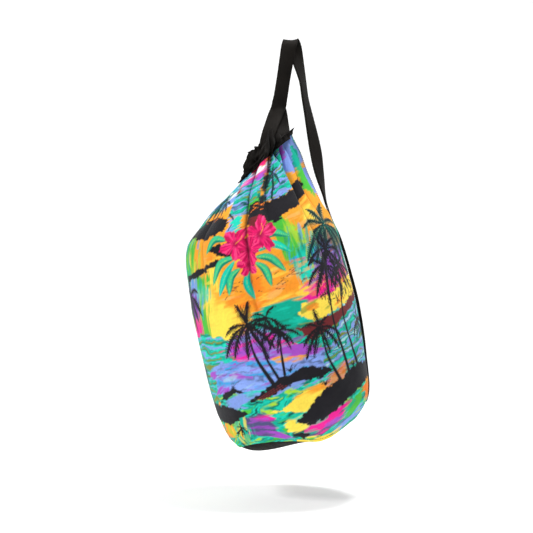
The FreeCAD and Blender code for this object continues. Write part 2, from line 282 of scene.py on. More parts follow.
class Print:
    """The colours at points a across and b up the cloth, laid one ink over another."""

    def __init__(self, a, b, ground):
        self.a, self.b = a, b
        self.rgb = np.tile(ground, (len(a), 1))

    def near(self, low, high):
        """Numbers of the points in a box."""
        inside = (self.a > low[0]) & (self.a < high[0]) & (self.b > low[1]) & (self.b < high[1])
        return np.nonzero(inside)[0]

    def lay(self, which, share, colour):
        self.rgb[which] += share[:, None] * (colour - self.rgb[which])

    def wash(self, centre, size, turn, colour, soft=8.0, rough=7.0, streak=5.0, seed=1, strength=1.0):
        """A brushed patch: an ellipse with a wandering, streaky edge."""
        reach = max(size) + soft + rough + streak
        which = self.near((centre[0] - reach, centre[1] - reach), (centre[0] + reach, centre[1] + reach))
        da, db = self.a[which] - centre[0], self.b[which] - centre[1]
        c, s = math.cos(math.radians(turn)), math.sin(math.radians(turn))
        x, y = c * da + s * db, -s * da + c * db
        away = (np.hypot(x / size[0], y / size[1]) - 1) * min(size)
        away = away + 2 * rough * (noise(x / 22 + seed, y / 12 + 40, seed) - 0.5)
        away = away + 2 * streak * (noise(x / 34 + 30, y / 2.4 + 50, seed + 1) - 0.5)
        self.lay(which, strength * rise(soft / 2, -soft / 2, away), colour)

    def shape(self, points, colour, edge=1.5, rough=1.5, grain=7.0, seed=1):
        """A closed shape with a slightly wandering edge."""
        points = np.array(points, float)
        margin = edge + 2 * rough
        which = self.near(points.min(0) - margin, points.max(0) + margin)
        a, b = self.a[which], self.b[which]
        away = outline_distance(a, b, points)
        away = away + 2 * rough * (noise(a / grain + 9, b / grain * 2 + 70, seed) - 0.5)
        away = away + 1.0 * rough * (noise(a / 2.6 + 9, b / 1.7 + 70, seed + 1) - 0.5)
        self.lay(which, rise(edge / 2, -edge / 2, away), colour)

    def stroke(self, points, start, end, colour, edge=1.3, belly=None):
        """A smooth line whose half width goes from start to end, or swells to belly between its ends."""
        curve = smooth_line(points)
        reach = max(start, end, belly or 0) + edge
        which = self.near(curve.min(0) - reach, curve.max(0) + reach)
        away, t, _ = line_distance(self.a[which], self.b[which], curve)
        half = start + (end - start) * t
        if belly is not None:
            half = half + belly * np.sin(math.pi * t) ** 0.7
        self.lay(which, rise(edge / 2, -edge / 2, away - half), colour)

    def waves(self, points, colours, length=9.0, slope=0.1, strength=1.0, seed=1):
        """A stretch of sea inside an outline: wandering lines, one ink after another."""
        points = np.array(points, float)
        which = self.near(points.min(0) - 6, points.max(0) + 6)
        a, b = self.a[which], self.b[which]
        away = outline_distance(a, b, points) + 10 * (noise(a / 13, b / 6 + 33, seed) - 0.5)
        share = strength * rise(2, -2, away)
        phase = (b - slope * a) / length + 1.6 * noise(a / 26 + 5, b / 11 + 5, seed + 1)
        phase = phase + 0.5 * noise(a / 9, b / 5, seed + 2)
        step = np.floor(phase).astype(int)
        part = phase - step
        body = np.array([colours[k] for k in (0, 1)])[step % 2]
        body = body * (0.86 + 0.28 * noise(a / 3 + 8, b / 1.6 + 8, seed + 3))[:, None]
        line = np.array([colours[2 + k % (len(colours) - 2)] for k in range(12)])[step % 12]
        crest = rise(0.30, 0.14, np.abs(part - 0.5)) * rise(0.25, 0.6, noise(a / 15 + 2, b / 4 + 2, seed + 4))
        broken = rise(0.3, 0.6, noise(a / 17 + 9, b / 5 + 9, seed + 5))
        trough = 0.55 * rise(0.16, 0.05, np.abs(part - 0.2)) * broken
        self.lay(which, share, (body + crest[:, None] * (line - body)) * (1 - trough)[:, None])

    def palm(self, foot, crown, bow, size, fronds=9, colour=None, haze=None, seed=1):
        """A leaning trunk and a crown of combed fronds."""
        colour = BLACK if colour is None else colour
        foot, crown = np.array(foot, float), np.array(crown, float)
        middle = (foot + crown) / 2 + np.array([bow, 0])
        self.stroke([foot, middle, crown], 0.055 * size + 0.9, 0.9, colour)
        random = np.random.default_rng(seed)
        for k in range(fronds):
            turn = math.radians(-65 + 310 * (k + random.uniform(-0.25, 0.25)) / (fronds - 1))
            long = size * random.uniform(0.75, 1.1) * (1 + 0.15 * math.sin(turn))
            droop = 0.35 + 0.45 * math.cos(turn) ** 2
            t = np.linspace(0, 1, 9)
            curve = crown + np.stack([t * math.cos(turn), t * math.sin(turn) - droop * t**2], axis=-1) * long
            self.frond(curve, 0.15 * size, colour, haze)

    def frond(self, curve, wide, colour, haze):
        which = self.near(curve.min(0) - wide, curve.max(0) + wide)
        away, t, length = line_distance(self.a[which], self.b[which], curve)
        spine = np.interp(t, np.linspace(0, 1, len(curve)), curve[:, 1])
        under = np.where(self.b[which] < spine, 1.0, 0.45)
        span = under * wide * np.sin(math.pi * np.clip(t, 0.02, 0.98)) ** 0.6
        if haze is not None:
            self.lay(which, 0.6 * rise(1.0, 0.3, away / span), haze)
        comb = (0.5 + 0.5 * np.cos(2 * math.pi * (t * length - 1.5 * away) / 4.0)) ** 1.4
        leaflet = rise(0.2, -0.2, away / span - 0.3 - 0.75 * comb)
        self.lay(which, np.maximum(leaflet, rise(0.8, -0.8, away - 1.3 + 0.9 * t)) * (t > 0.01), colour)

    def leaf(self, points, half, light, dark):
        """A long pointed leaf with a shaded side and a pale midrib."""
        self.stroke(points, 0.2, 0.2, dark, belly=half)
        lift = np.array([0.0, 0.35 * half])
        self.stroke([np.array(p, float) + lift * (0 < k < len(points) - 1) for k, p in enumerate(points)],
                    0.1, 0.1, light, belly=0.62 * half)
        self.stroke(points, 0.3, 0.1, LIME, edge=1.0)

    def flower(self, centre, radius, turn, seed=1, stamen=True):
        """An open five-petalled flower: crumpled petals, dark throat, pale veins and a stamen."""
        reach = radius * 1.3
        low, high = np.array(centre) - reach, np.array(centre) + reach
        which = self.near(low, high)
        da, db = self.a[which] - centre[0], self.b[which] - centre[1]
        far, angle = np.hypot(da, db), np.arctan2(db, da) + math.radians(turn)
        lobe = np.abs(np.cos(2.5 * angle))
        ragged = 0.3 * (noise(angle * 5 + 30, far / 30, seed) - 0.5)
        ragged = ragged + 0.12 * (noise(angle * 16 + 30, far / 9, seed) - 0.5)
        edge = radius * (0.5 + 0.5 * lobe**0.8 + ragged)
        inside = rise(0.8, -0.8, far - edge)
        self.lay(which, inside, PINK)
        crumple = noise(angle * 9 + 30, far / 16 + 4, seed + 1)
        self.lay(which, 0.5 * inside * rise(0.45, 0.75, crumple), PALE_PINK)
        self.lay(which, 0.75 * inside * rise(0.5, 0.25, crumple) * rise(0.2, 0.6, far / radius), CRIMSON)
        vein = np.abs(np.sin(15 * angle + far / 5)) ** 8
        self.lay(which, 0.35 * vein * inside * rise(0.15, 0.5, far / radius), CRIMSON)
        split = rise(0.4, 0.05, lobe) * rise(0.15, 0.5, far / radius)
        self.lay(which, 0.85 * split * inside, CRIMSON * 0.6)
        self.lay(which, 0.8 * rise(0.38 * radius, 0.08 * radius, far), CRIMSON * 0.7)
        if stamen:
            way = 1.1 - math.radians(turn)
            tip = np.array(centre) + 0.6 * radius * np.array([math.cos(way), math.sin(way)])
            bend = (np.array(centre) + tip) / 2 + np.array([0.12 * radius, 0])
            self.stroke([centre, bend, tip], 0.5, 0.5, AMBER, edge=1.0)

    def dabs(self, box, colours, count, size, turn, seed, strength=0.8):
        """Small brush marks scattered over a box."""
        random = np.random.default_rng(seed)
        for k in range(count):
            centre = (random.uniform(box[0], box[2]), random.uniform(box[1], box[3]))
            grow = random.uniform(0.6, 1.4)
            spread = (size[0] * grow, size[1] * grow)
            lean = turn + random.uniform(-10, 10)
            self.wash(centre, spread, lean, colours[k % len(colours)], 2.0, 2.5, 3.0, seed + k, strength)

    def scratches(self, box, colour, count, long, seed, turn=5, half=0.7):
        """Short dry-brush marks that fan over a box, about turn degrees from level."""
        random = np.random.default_rng(seed)
        for _ in range(count):
            start = np.array([random.uniform(box[0], box[2]), random.uniform(box[1], box[3])])
            way = math.radians(turn + random.uniform(-30, 30))
            end = start + random.uniform(0.5, 1) * long * np.array([math.cos(way), math.sin(way)])
            bend = (start + end) / 2 + np.array([0, random.uniform(-1.5, 2.5)])
            self.stroke([start, bend, end], half, 0.3 * half, colour, edge=1.0)


def smooth_line(points, count=13):
    """A polyline along the smooth curve through a few points."""
    rows = [(k, *p) for k, p in enumerate(points)]
    t = np.linspace(0, len(points) - 1, count)
    return np.stack(along(rows, t), axis=-1)


def line_distance(a, b, curve):
    """Distance from each point to a polyline, the share of its length there, and its length."""
    steps = np.hypot(*(curve[1:] - curve[:-1]).T)
    starts = np.concatenate([[0], np.cumsum(steps)])
    best = np.full(len(a), 1e9)
    share = np.zeros(len(a))
    for k, step in enumerate(steps):
        (xa, xb), (da, db) = curve[k], curve[k + 1] - curve[k]
        t = np.clip(((a - xa) * da + (b - xb) * db) / step**2, 0, 1)
        away = np.hypot(a - xa - t * da, b - xb - t * db)
        nearer = away < best
        best = np.where(nearer, away, best)
        share = np.where(nearer, (starts[k] + t * step) / starts[-1], share)
    return best, share, starts[-1]


def outline_distance(a, b, points):
    """Signed distance to a closed outline, negative inside."""
    closed = np.vstack([points, points[:1]])
    away, _, _ = line_distance(a, b, closed)
    inside = np.zeros(len(a), bool)
    for (xa, xb), (ya, yb) in zip(closed[:-1], closed[1:]):
        crosses = (xb > b) != (yb > b)
        at = xa + (b - xb) / (yb - xb if yb != xb else 1e-9) * (ya - xa)
        inside ^= crosses & (a < at)
    return np.where(inside, -away, away)


def paint(a, b):
    """The whole panel's print, with one streak of painted shade at the neck."""
    cloth = Print(a, b, AMBER)
    layers = (paint_sky, paint_sea, paint_neck, paint_far_palms, paint_flowers, paint_shore, paint_near_palms)
    for layer in layers:
        layer(cloth)
    grain = 0.93 + 0.14 * noise(a / 2.1, b / 2.1, 91)
    return np.clip(cloth.rgb * grain[:, None], 0, 1)


def paint_sky(cloth):
    cloth.wash((-112, 200), (16, 62), 0, YELLOW, soft=22, seed=3)
    cloth.wash((-84, 172), (24, 44), 0, YELLOW, soft=22, seed=4)
    cloth.wash((-94, 255), (20, 12), 80, YELLOW, soft=10, seed=2)
    cloth.wash((-10, 190), (54, 9), 8, YELLOW, soft=10, streak=8, seed=5, strength=0.7)
    cloth.wash((32, 222), (60, 10), 8, ORANGE, soft=14, streak=8, seed=6, strength=0.45)
    cloth.wash((-24, 205), (9, 52), -4, ORANGE, soft=8, seed=7, strength=0.85)
    cloth.wash((108, 322), (20, 12), 30, YELLOW, soft=16, seed=9)
    # Leaf green, turquoise and violet brushed down the far side
    cloth.wash((-184, 300), (80, 22), 88, GREEN, soft=12, streak=9, seed=10)
    cloth.wash((-208, 320), (70, 20), 88, TEAL, soft=10, streak=8, seed=11)
    cloth.wash((-150, 256), (12, 42), 86, GREEN, soft=9, streak=8, seed=12)
    cloth.wash((-136, 236), (16, 26), 86, TURQUOISE, soft=9, streak=8, seed=18, strength=0.8)
    cloth.wash((-180, 246), (24, 24), 86, PERIWINKLE, soft=12, streak=8, seed=13)
    cloth.wash((-174, 216), (26, 30), 86, PURPLE, soft=9, streak=8, seed=14)
    cloth.wash((-170, 178), (26, 34), 86, MAGENTA, soft=8, streak=9, seed=15)
    cloth.wash((-190, 196), (20, 18), 86, SLATE, soft=8, streak=8, seed=16)
    cloth.wash((-134, 186), (50, 13), 86, GREEN, soft=14, streak=9, seed=17)
    # Right: leaf green, blue streaks, then violet into magenta
    cloth.wash((44, 306), (40, 16), 108, GREEN, soft=7, seed=20)
    cloth.wash((66, 286), (30, 18), 100, LIME, soft=9, streak=7, seed=21)
    cloth.wash((50, 270), (24, 12), 100, GREEN, soft=9, streak=7, seed=22)
    cloth.wash((96, 250), (44, 26), 10, SKY, soft=10, streak=9, seed=23)
    cloth.wash((72, 240), (30, 14), 88, TURQUOISE, soft=8, streak=9, seed=24)
    cloth.wash((130, 262), (40, 30), 12, SLATE, soft=14, streak=9, seed=25, strength=0.6)
    cloth.wash((142, 228), (64, 22), 16, PURPLE, soft=9, streak=8, seed=26)
    cloth.wash((122, 205), (66, 9), 17, MAGENTA, soft=6, streak=6, seed=27)
    cloth.wash((54, 184), (30, 10), 14, MAGENTA, soft=7, streak=7, seed=28)
    cloth.wash((198, 262), (60, 22), 88, TEAL, soft=12, streak=8, seed=29)
    cloth.dabs((-120, 190, -30, 300), [PEACH, ORANGE, YELLOW], 26, (11, 2.2), 6, 200, 0.55)
    cloth.dabs((-20, 180, 90, 260), [PEACH, ORANGE, YELLOW, AMBER], 34, (14, 2.4), 8, 240, 0.6)
    cloth.dabs((60, 300, 130, 350), [PEACH, ORANGE, YELLOW], 18, (10, 2.2), 16, 290, 0.6)
    cloth.dabs((-215, 190, -125, 330), [LIME, TEAL, YELLOW, GREEN, SKY], 46, (11, 2.0), 88, 320, 0.6)
    cloth.dabs((40, 232, 120, 310), [TURQUOISE, LIME, SKY, TEAL, PINE], 44, (10, 1.9), 86, 370, 0.65)
    cloth.dabs((90, 205, 200, 260), [PURPLE, SLATE, VIOLET, PERIWINKLE], 34, (13, 1.9), 16, 420, 0.65)
    cloth.dabs((60, 190, 190, 214), [MAGENTA, PURPLE, PINK], 18, (12, 1.6), 17, 460, 0.65)
    cloth.scratches((10, 215, 60, 240), BROWN, 16, 14, 31)
    cloth.scratches((-90, 216, -15, 240), BROWN, 14, 12, 32)
    # Dark drifts of cloud on the left
    cloth.shape([(-200, 270), (-150, 276), (-74, 284), (-80, 277), (-140, 266), (-190, 262)], BLACK,
                rough=3, seed=33)
    cloth.shape([(-108, 306), (-70, 310), (-48, 296), (-60, 282), (-84, 294)], BLACK, rough=3, seed=34)


def paint_sea(cloth):
    sea = [PERIWINKLE, TEAL, OLIVE, TURQUOISE, PALE_SEA]
    cloth.wash((10, 158), (50, 40), 0, TEAL, soft=6, seed=40)
    cloth.waves([(28, 60), (45, 150), (110, 172), (225, 180), (225, 45), (90, 40)], sea, 8, 0.22, seed=41)
    cloth.waves([(-225, 165), (-140, 172), (-85, 155), (-78, 118), (-120, 60), (-225, 40)],
                [TEAL, TURQUOISE, OLIVE, PERIWINKLE], 7, -0.05, seed=42)
    cloth.waves([(18, 130), (34, 152), (78, 150), (60, 104), (30, 100)], [TEAL, TURQUOISE, OLIVE,
                DEEP_TEAL], 8, 0.3, seed=43)
    # The sunlit hill and its still water
    cloth.wash((-42, 132), (46, 28), -6, VIOLET, soft=4, rough=5, streak=6, seed=44)
    cloth.wash((-44, 152), (26, 10), 0, PERIWINKLE, soft=8, seed=45, strength=0.8)
    cloth.wash((-2, 128), (24, 12), -30, MAGENTA, soft=5, seed=46)
    cloth.wash((28, 108), (34, 12), -8, VIOLET, soft=5, streak=5, seed=47)
    cloth.wash((-86, 128), (16, 7), 5, MAGENTA, soft=4, seed=48)
    cloth.waves([(-150, 112), (-80, 124), (0, 100), (62, 98), (60, 70), (-30, 60), (-140, 52)],
                [PERIWINKLE, PERIWINKLE * 1.1, SKY, PERIWINKLE * 1.2], 15, 0.0, seed=49)
    cloth.wash((-128, 106), (26, 5), 8, VIOLET, soft=4, seed=50)
    cloth.wash((-96, 96), (20, 5), -12, VIOLET, soft=4, seed=51)
    cloth.wash((-142, 72), (14, 5), 25, VIOLET, soft=4, seed=52)
    cloth.dabs((-86, 108, 30, 152), [VIOLET, PURPLE, MAGENTA, PERIWINKLE], 40, (12, 1.5), -4, 500, 0.7)
    cloth.dabs((-140, 60, 10, 108), [PERIWINKLE, SKY, PALE_SEA, VIOLET], 30, (13, 1.6), 8, 550, 0.5)
    cloth.dabs((6, 125, 46, 186), [TEAL, TURQUOISE, PINE], 18, (11, 2), 4, 590, 0.6)
    # Currents round the islands
    swirl = [TEAL, TURQUOISE, LIME, PERIWINKLE, DEEP_TEAL]
    cloth.waves([(-150, 66), (-40, 66), (60, 60), (110, 60), (40, 30), (-40, 10), (-160, 20)], swirl, 9,
                -0.12, seed=53)
    cloth.wash((-96, 50), (34, 8), 10, PERIWINKLE, soft=6, seed=54)
    cloth.wash((10, 62), (26, 5), 10, PERIWINKLE, soft=5, seed=55)


def paint_neck(cloth):
    """The print above the flowers, which the gathers fold up, with one dark streak of painted shade in a
    pleat valley.
    """
    sea = [TEAL, PERIWINKLE, OLIVE, TURQUOISE, DEEP_TEAL]
    cloth.waves([(-225, 372), (-100, 372), (-52, 392), (-52, 460), (-225, 460)], [TEAL, SKY, WHITE, OLIVE],
                8, 0.1, seed=60)
    cloth.wash((-78, 392), (26, 15), 15, WHITE, soft=5, streak=5, seed=61)
    cloth.wash((-84, 383), (20, 6), 10, PERIWINKLE, soft=5, seed=62)
    cloth.wash((-70, 410), (12, 10), 20, BROWN * 1.6, soft=4, seed=63)
    cloth.waves([(-72, 352), (-14, 350), (4, 362), (-2, 430), (-80, 430)], sea, 8, 0.0, seed=64)
    cloth.wash((-40, 442), (40, 7), 2, PINK, soft=4, streak=5, seed=64)
    cloth.wash((-40, 430), (40, 5), 2, WHITE, soft=4, streak=5, seed=65)
    cloth.wash((-40, 423), (40, 3), 2, MAGENTA, soft=4, streak=5, seed=66, strength=0.8)
    cloth.wash((-38, 416), (38, 4), 2, VIOLET, soft=5, streak=4, seed=67)
    cloth.wash((-20, 366), (26, 8), 5, GREEN, soft=6, streak=6, seed=68)
    cloth.waves([(12, 366), (18, 452), (96, 452), (104, 380), (60, 362)], sea, 8, 0.25, seed=69)
    # Painted shade: a dark streak where the valley between two neck pleats lies in shadow.
    cloth.wash((12, 396), (9, 46), -8, NIGHT, soft=6, streak=7, seed=70)
    cloth.wash((132, 425), (40, 32), 8, PERIWINKLE, soft=6, seed=71)
    cloth.wash((196, 446), (40, 30), 0, PERIWINKLE, soft=6, seed=97)
    cloth.wash((104, 440), (13, 14), 0, VIOLET, soft=8, seed=72)
    cloth.wash((178, 418), (24, 26), 0, TEAL, soft=7, seed=73)
    cloth.wash((174, 378), (26, 26), 20, GREEN, soft=8, seed=74)
    cloth.wash((204, 380), (16, 40), 0, PERIWINKLE, soft=8, seed=75)
    # Land under the neck
    cloth.shape([(-24, 366), (8, 370), (20, 352), (16, 326), (-24, 330)], BLACK, rough=3, seed=76)
    cloth.scratches((-20, 350, 12, 366), ORANGE, 9, 14, 77)
    cloth.wash((-2, 331), (20, 8), 4, BROWN, soft=4, seed=78)
    cloth.shape([(10, 330), (16, 362), (50, 362), (96, 372), (134, 388), (156, 378), (140, 360), (96, 344),
                 (60, 334), (36, 322)], BLACK, rough=3, seed=79)
    cloth.shape([(-222, 352), (-150, 364), (-88, 362), (-66, 346), (-72, 330), (-120, 322), (-180, 332),
                (-222, 330)],
                BLACK, rough=3.5, seed=80)
    cloth.scratches((-170, 354, -90, 364), ORANGE, 8, 20, 81)
    cloth.wash((-58, 342), (10, 17), 20, PERIWINKLE, soft=4, seed=82)
    cloth.stroke([(-70, 360), (-56, 346), (-60, 328)], 1.6, 0.8, BLACK)
    cloth.wash((-48, 344), (6, 16), 15, TURQUOISE, soft=4, seed=83)


def paint_far_palms(cloth):
    cloth.palm((-160, 350), (-150, 398), -6, 36, 8, NIGHT, DEEP_TEAL, seed=3)
    cloth.palm((-112, 356), (-104, 388), 5, 26, 8, NIGHT, DEEP_TEAL, seed=4)
    cloth.palm((188, 210), (140, 300), 14, 62, 10, NIGHT, TEAL, seed=5)
    cloth.palm((176, 190), (126, 258), 12, 48, 9, BLACK, SLATE, seed=6)
    cloth.palm((-214, 160), (-190, 236), -10, 50, 9, BLACK, SLATE, seed=7)
    cloth.palm((32, 366), (30, 412), 4, 24, 7, NIGHT, DEEP_TEAL, seed=8)


def paint_flowers(cloth):
    leaves = [
        [(-12, 282), (20, 288), (50, 268)], [(-14, 274), (12, 266), (34, 240)], [(-16, 266), (0, 250), (6,
          222)],
        [(-30, 256), (-36, 236), (-26, 208)], [(-44, 262), (-62, 250), (-68, 224)], [(-46, 282), (-78,
          276), (-98, 246)],
        [(-52, 276), (-72, 254), (-86, 226)], [(-60, 312), (-86, 318), (-108, 298)], [(2, 296), (26, 306),
          (54, 294)],
    ]
    for k, points in enumerate(leaves):
        light, dark = (JADE, PINE) if k % 3 else (TURQUOISE, TEAL)
        cloth.leaf(points, 6.5, light, dark)
    cloth.flower((-30, 264), 19, 50, seed=4, stamen=False)
    cloth.flower((-46, 303), 27, 20, seed=2)
    cloth.flower((2, 308), 30, -10, seed=3)
    cloth.flower((-24, 288), 24, 0, seed=5, stamen=False)


def paint_shore(cloth):
    """Beaches, islands and far hills along the bottom."""
    swirl = [TEAL, TURQUOISE, GREEN, LIME, DEEP_TEAL]
    cloth.waves([(-225, 45), (-100, 36), (0, 46), (60, 30), (225, 30), (225, -60), (-225, -60)], swirl, 16,
                0.5, seed=99)
    cloth.wash((-70, 2), (38, 24), -30, SLATE, soft=4, streak=4, seed=100)
    cloth.wash((-66, 18), (26, 6), -10, MAGENTA, soft=4, streak=4, seed=101)
    cloth.wash((-52, -22), (34, 9), -18, VIOLET, soft=5, streak=6, seed=102)
    cloth.wash((-146, 4), (18, 20), 8, AMBER, soft=5, seed=103)
    cloth.wash((-186, -2), (28, 16), 8, ORANGE, soft=10, seed=104)
    cloth.wash((-116, -4), (28, 13), 88, LIME, soft=12, streak=9, seed=105)
    cloth.wash((-98, -12), (28, 10), 88, TEAL, soft=8, streak=9, seed=98)
    cloth.wash((56, -16), (46, 13), 14, SLATE, soft=4, streak=4, seed=106)
    cloth.wash((64, -6), (34, 6), 16, MAGENTA, soft=4, streak=5, seed=107)
    cloth.wash((8, -4), (24, 17), 20, YELLOW, soft=5, seed=108)
    cloth.wash((132, 4), (30, 12), 20, GREEN, soft=6, seed=109)
    cloth.wash((178, 14), (22, 12), 10, ORANGE, soft=6, seed=110)
    cloth.wash((126, -24), (40, 11), 10, PERIWINKLE, soft=6, seed=111)
    cloth.wash((60, -38), (44, 7), 4, YELLOW, soft=6, streak=6, seed=112)
    cloth.dabs((-90, -24, -48, 18), [VIOLET, PURPLE, SLATE], 16, (10, 1.6), -4, 620, 0.7)
    cloth.dabs((20, -26, 110, 0), [VIOLET, MAGENTA, SLATE, TEAL], 20, (10, 1.6), 16, 640, 0.7)
    cloth.dabs((-150, -30, -95, 20), [LIME, YELLOW, TEAL, ORANGE], 20, (9, 1.8), 86, 670, 0.6)
    cloth.dabs((-40, 0, 60, 34), [TURQUOISE, GREEN, PINE], 18, (12, 1.8), 18, 700, 0.6)
    # The two sunny beaches
    cloth.shape([(-48, 26), (-20, 25), (20, 46), (62, 44), (52, 26), (16, 13), (-18, 22)], YELLOW, rough=2,
                seed=113)
    cloth.wash((48, 46), (30, 10), 8, AMBER, soft=8, seed=114)
    cloth.wash((88, 54), (30, 12), 14, ORANGE, soft=8, seed=115, strength=0.75)
    # Land in silhouette
    cloth.shape([(-82, 48), (-44, 62), (-14, 76), (20, 84), (46, 80), (78, 68), (52, 60), (14, 64), (-14, 58),
                 (-40, 48)], BLACK, rough=2.5, seed=116)
    for shift in (0, 5, 10):
        cloth.stroke([(-62 + shift, 50 - 0.2 * shift), (-40 + shift, 58 - 0.3 * shift),
                     (-16 + shift, 66 - 0.4 * shift)],
                     0.5, 0.4, BROWN * 1.5, edge=1.0)
    cloth.shape([(-150, 58), (-128, 70), (-104, 76), (-82, 66), (-104, 66), (-128, 58)], BLACK, rough=1.8,
                seed=117)
    cloth.shape([(0, 0), (30, 22), (60, 42), (98, 50), (130, 62), (172, 62), (220, 66), (220, 36),
                (168, 32), (120, 20),
                 (86, 8), (60, 0), (26, -8)], BLACK, rough=2.5, seed=118)
    cloth.shape([(-222, 56), (-150, 50), (-100, 40), (-80, 28), (-104, 24), (-136, 14), (-180, 24),
                (-222, 20)], BLACK,
                rough=2.5, seed=119)
    cloth.shape([(-12, -26), (10, -20), (30, -24), (12, -34)], BLACK, rough=2, seed=120)
    # Sunlit cliff and beach on the right
    cloth.shape([(44, 182), (100, 186), (214, 214), (222, 196), (190, 176), (104, 158), (60, 150),
                (34, 166)], YELLOW,
                rough=3, seed=121)
    cloth.dabs((50, 160, 200, 196), [AMBER, ORANGE, OLIVE], 16, (9, 2), 12, 130, 0.7)
    cloth.scratches((78, 166, 195, 190), BLACK, 46, 15, 122, 88, 1.0)
    cloth.scratches((78, 172, 195, 200), BLACK, 16, 16, 123, 10, 0.9)
    cloth.shape([(28, 146), (62, 150), (110, 156), (212, 184), (214, 176), (130, 146), (78, 132),
                (46, 122)], BROWN,
                rough=2.5, seed=124)


def paint_near_palms(cloth):
    cloth.palm((-26, 66), (-48, 170), -10, 54, 10, seed=21)
    cloth.palm((-16, 72), (-16, 176), -16, 30, 6, seed=22)
    cloth.palm((-6, 80), (0, 150), -2, 30, 9, seed=23)
    cloth.palm((92, 44), (64, 138), -8, 42, 9, seed=24)
    cloth.palm((116, 52), (112, 232), -20, 46, 9, seed=25)
    cloth.palm((142, 58), (150, 226), -24, 42, 9, seed=26)
    cloth.palm((186, 60), (176, 130), 8, 32, 9, seed=27)
    cloth.palm((-190, 50), (-196, 118), 6, 28, 8, seed=28)
    cloth.palm((-128, -6), (-112, 4), 4, 18, 7, seed=29)
    for foot, count in (((4, 82), 12), ((60, 46), 14), ((-104, 74), 8), ((128, 62), 12)):
        grass(cloth, foot, count)


def grass(cloth, foot, count):
    """A tuft that fans up from a point."""
    for k in range(count):
        way = math.radians(25 + 130 * k / (count - 1))
        long = 9 + 5 * math.sin(7 * k)
        tip = (foot[0] + long * math.cos(way), foot[1] + long * math.sin(way))
        bend = (foot[0] + 0.4 * long * math.cos(way), foot[1] + 0.65 * long * math.sin(way))
        cloth.stroke([foot, bend, tip], 0.6, 0.2, BLACK, edge=1.0)


# Meshes


def link(thing):
    """Adds an object to the scene and hands it back."""
    bpy.context.scene.collection.objects.link(thing)
    return thing


def mesh_piece(name, points, faces, material, uv=None):
    """A smooth-shaded object; uv is metres across and along the cloth for each point."""
    mesh = bpy.data.meshes.new(name)
    faces = faces.tolist() if isinstance(faces, np.ndarray) else faces
    mesh.from_pydata(np.asarray(points).reshape(-1, 3).tolist(), [], faces)
    mesh.polygons.foreach_set("use_smooth", [True] * len(mesh.polygons))
    if uv is not None:
        layer = mesh.uv_layers.new(name="cloth")
        corners = np.empty(len(mesh.loops), int)
        mesh.loops.foreach_get("vertex_index", corners)
        layer.data.foreach_set("uv", np.asarray(uv, float).reshape(-1, 2)[corners].ravel())
    mesh.materials.append(material)
    return link(bpy.data.objects.new(name, mesh))


def grid_faces(rows, columns, closed=False, start=0):
    """Quads of a grid of points, row after row; closed joins the last column to the first."""
    across = columns if closed else columns - 1
    i, j = np.meshgrid(np.arange(rows - 1), np.arange(across), indexing="ij")
    i, j = i.ravel() * columns, j.ravel()
    k = (j + 1) % columns
    return start + np.stack([i + j, i + k, i + columns + k, i + columns + j], axis=-1)


# Materials


class Nodes:
    """A short way to build one material's node tree."""

    def __init__(self, name):
        self.material = bpy.data.materials.new(name)
        self.material.use_nodes = True
        self.tree = self.material.node_tree
        self.shader = self.tree.nodes["Principled BSDF"]

    def add(self, kind, inputs=None, **settings):
        node = self.tree.nodes.new("ShaderNode" + kind)
        for key, value in settings.items():
            setattr(node, key, value)
        for key, value in (inputs or {}).items():
            if isinstance(value, bpy.types.NodeSocket):
                self.tree.links.new(value, node.inputs[key])
            else:
                node.inputs[key].default_value = value
        return node

    def math(self, operation, first, second):
        return self.add("Math", {0: first, 1: second}, operation=operation).outputs[0]

    def remap(self, value, low, high):
        return self.add("MapRange", {"Value": value, "To Min": low, "To Max": high}).outputs[0]

    def set(self, **values):
        for key, value in values.items():
            socket = self.shader.inputs[key.replace("_", " ")]
            if isinstance(value, bpy.types.NodeSocket):
                self.tree.links.new(value, socket)
            else:
                socket.default_value = value

    def speckle(self, scale, detail):
        """Noise with about scale cells to a metre."""
        where = self.add("TexCoord").outputs["Object"]
        return self.add("TexNoise", {"Vector": where, "Scale": scale, "Detail": detail}).outputs["Fac"]

    def mix(self, first, much, second, little):
        """much of one value and little of another, added."""
        return self.math("ADD", self.math("MULTIPLY", first, much), self.math("MULTIPLY", second, little))

    def ramp(self, value, low, dark, high, light):
        """A colour from dark, where value is low, to light, where it is high."""
        node = self.add("ValToRGB", {"Fac": value})
        for end, position, colour in zip(node.color_ramp.elements, (low, high), (dark, light)):
            end.position = position
            end.color = (*colour, 1)
        return node.outputs[0]

    def weave(self, pitch):
        """Height of a plain weave, with threads pitch metres apart across and along the cloth."""
        cloth = self.add("UVMap", uv_map="cloth").outputs[0]
        parts = self.add("SeparateXYZ", {0: cloth}).outputs
        turn = math.pi / pitch
        weft, warp = (self.math("SINE", self.math("MULTIPLY", parts[k], turn), 0.0) for k in (0, 1))
        return self.math("MULTIPLY", weft, warp)


def print_material():
    """Printed polyester canvas: the inks with painted crease shade, with uneven take-up and a soft sheen over
    the threads.
    """
    n = Nodes("printed_canvas")
    # The ink attribute holds the print times the painted crease shade.
    ink_and_shade = n.add("Attribute", attribute_name="ink").outputs["Color"]
    weave = n.weave(0.0008)
    fine = n.speckle(900.0, 2.0)
    worn = n.speckle(38.0, 4.0)
    shade = n.math("MULTIPLY", n.remap(fine, 0.92, 1.08), n.remap(worn, 0.94, 1.06))
    shade = n.math("ADD", shade, n.math("MULTIPLY", weave, 0.04))
    colour = n.add("VectorMath", {0: ink_and_shade, "Scale": shade}, operation="SCALE").outputs[0]
    height = n.mix(weave, 0.5, fine, 0.4)
    crinkle = n.speckle(95.0, 3.0)
    rough = n.add("Bump", {"Height": height, "Strength": 0.35, "Distance": 0.0004}).outputs[0]
    bump = n.add("Bump", {"Height": crinkle, "Strength": 0.35, "Distance": 0.0016,
                 "Normal": rough}).outputs[0]
    n.set(Base_Color=colour, Roughness=n.remap(worn, 0.62, 0.8), Normal=bump)
    n.set(Sheen_Weight=0.05, Sheen_Roughness=0.5, Specular_IOR_Level=0.14)
    return n.material


